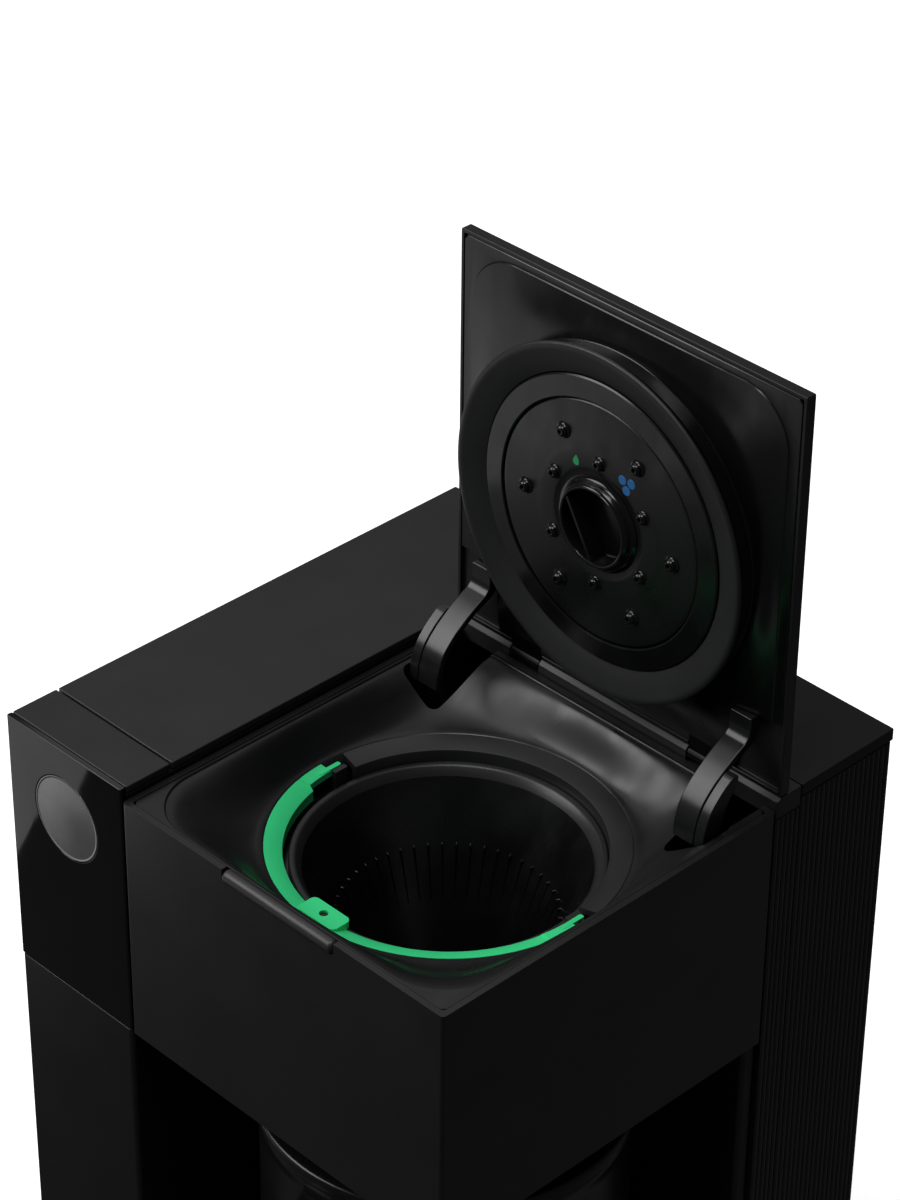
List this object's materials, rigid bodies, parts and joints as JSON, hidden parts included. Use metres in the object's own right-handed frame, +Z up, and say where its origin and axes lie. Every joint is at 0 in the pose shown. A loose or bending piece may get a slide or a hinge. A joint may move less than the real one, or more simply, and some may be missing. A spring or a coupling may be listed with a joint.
{
  "type": "drip coffee maker",
  "caption": "Drip coffee maker with a control column, a hinged shower-head lid standing open over a lift-out basket with a folding handle, a carafe and a lift-off water tank.",
  "frame": {"origin": "on the surface it stands on, under the centre of the whole footprint, carafe handle included", "axes": "+Z up, the front with the dial and carafe handle faces -Y, +X is to the right of someone facing the front"},
  "size_m": [0.2286, 0.256, 0.4693],
  "materials": {
    "satin_black": "satin black moulded plastic with a fine grain",
    "top_satin": "satin dark charcoal moulded plastic",
    "gloss_black": "polished black plastic",
    "smoked": "smoked grey plastic with fine upright ribs",
    "gasket": "matt dark grey silicone",
    "green": "satin mint green plastic",
    "steel": "brushed stainless steel",
    "cast_aluminium": "cast",
    "board": "circuit board",
    "white_silicone": "translucent white silicone",
    "rubber": "matt black rubber"
  },
  "bodies": {
    "housing": {"base_shell": "satin_black", "bottom_plate": "satin_black", "foot_front_left": "rubber", "foot_front_right": "rubber", "foot_rear_left": "rubber", "foot_rear_right": "rubber", "carafe_pad": "rubber", "column_shell": "satin_black", "front_panel_glass": "gloss_black", "column_top_cap": "top_satin", "column_top_cover": "top_satin", "cord_gland": "rubber", "control_board": "board", "display_module": "gloss_black", "encoder_body": "steel", "power_board": "board", "water_pump": "cast_aluminium", "flow_heater": "cast_aluminium", "inlet_tube": "white_silicone", "pump_tube": "white_silicone", "riser_tube": "white_silicone", "head_shell": "satin_black", "head_floor": "satin_black", "brew_deck": "gloss_black", "spine_shell": "smoked", "bay_wall": "satin_black", "hinge_rail": "top_satin", "hinge_pin_left": "steel", "hinge_pin_right": "steel", "tank_socket": "gasket"},
    "lid": {"lid_plate": "top_satin", "lid_liner": "gloss_black", "lid_gasket": "gasket", "shower_plate": "gloss_black", "lid_channel": "white_silicone", "hinge_arm_left": "gloss_black", "hinge_arm_right": "gloss_black", "hinge_cheek_left": "satin_black", "hinge_cheek_right": "satin_black", "hinge_leaf_left": "steel", "hinge_leaf_right": "steel"},
    "selector": {"flow_selector": "gloss_black"},
    "basket": {"brew_basket": "satin_black", "drip_stop_spring": "steel"},
    "bail": {"basket_handle": "green"},
    "drip_stop": {"drip_stop_valve": "white_silicone"},
    "carafe": {"carafe_body": "satin_black", "carafe_handle": "satin_black"},
    "carafe_cover": {"carafe_lid": "satin_black"},
    "tank": {"water_tank": "smoked", "tank_valve_cage": "smoked", "tank_valve_spring": "steel"},
    "tank_cover": {"tank_lid": "top_satin"},
    "tank_plug": {"tank_valve": "white_silicone"},
    "dial_stem": {"dial_shaft": "steel"},
    "dial": {"control_dial": "gloss_black"}
  },
  "joints": [
    {"name": "lid_hinge", "type": "hinge", "parent": "housing", "child": "lid", "pos_m": [0.0324, 0.06735, 0.30195], "axis": [-1, 0, 0], "range_deg": [-90, 0]},
    {"name": "flow_selector_turn", "type": "hinge", "parent": "lid", "child": "selector", "pos_m": [0.0324, 0.056, 0.3873], "axis": [0, -1, 0], "range_deg": [0, 60]},
    {"name": "basket_lift", "type": "slide", "parent": "housing", "child": "basket", "axis": [0, 0, 1], "range_m": [0, 0.11]},
    {"name": "basket_handle_fold", "type": "hinge", "parent": "basket", "child": "bail", "pos_m": [0.0324, -0.0155, 0.2833], "axis": [-1, 0, 0], "range_deg": [0, 90]},
    {"name": "drip_stop_press", "type": "slide", "parent": "basket", "child": "drip_stop", "axis": [0, 0, 1], "range_m": [0, 0.003], "stiffness_N_per_m": 120, "springref_m": -0.003, "deforming": ["drip_stop_spring"]},
    {"name": "carafe_slide", "type": "slide", "parent": "housing", "child": "carafe", "axis": [0, -1, 0], "range_m": [0, 0.17]},
    {"name": "carafe_lid_turn", "type": "hinge", "parent": "carafe", "child": "carafe_cover", "pos_m": [0.0324, -0.018, 0.175], "axis": [0, 0, 1], "range_deg": [0, 60]},
    {"name": "tank_lift", "type": "slide", "parent": "housing", "child": "tank", "axis": [0, 0, 1], "range_m": [0, 0.2]},
    {"name": "tank_lid_flip", "type": "hinge", "parent": "tank", "child": "tank_cover", "pos_m": [0.0324, 0.1265, 0.3035], "axis": [-1, 0, 0], "range_deg": [0, 100]},
    {"name": "tank_valve_press", "type": "slide", "parent": "tank", "child": "tank_plug", "axis": [0, 0, 1], "range_m": [0, 0.003], "stiffness_N_per_m": 120, "springref_m": -0.003, "deforming": ["tank_valve_spring"]},
    {"name": "dial_press", "type": "slide", "parent": "housing", "child": "dial_stem", "axis": [0, 1, 0], "range_m": [0, 0.001], "stiffness_N_per_m": 1500, "springref_m": -0.001},
    {"name": "dial_turn", "type": "hinge", "parent": "dial_stem", "child": "dial", "pos_m": [-0.0822, -0.0985, 0.275], "axis": [0, -1, 0], "continuous": true}
  ]
}
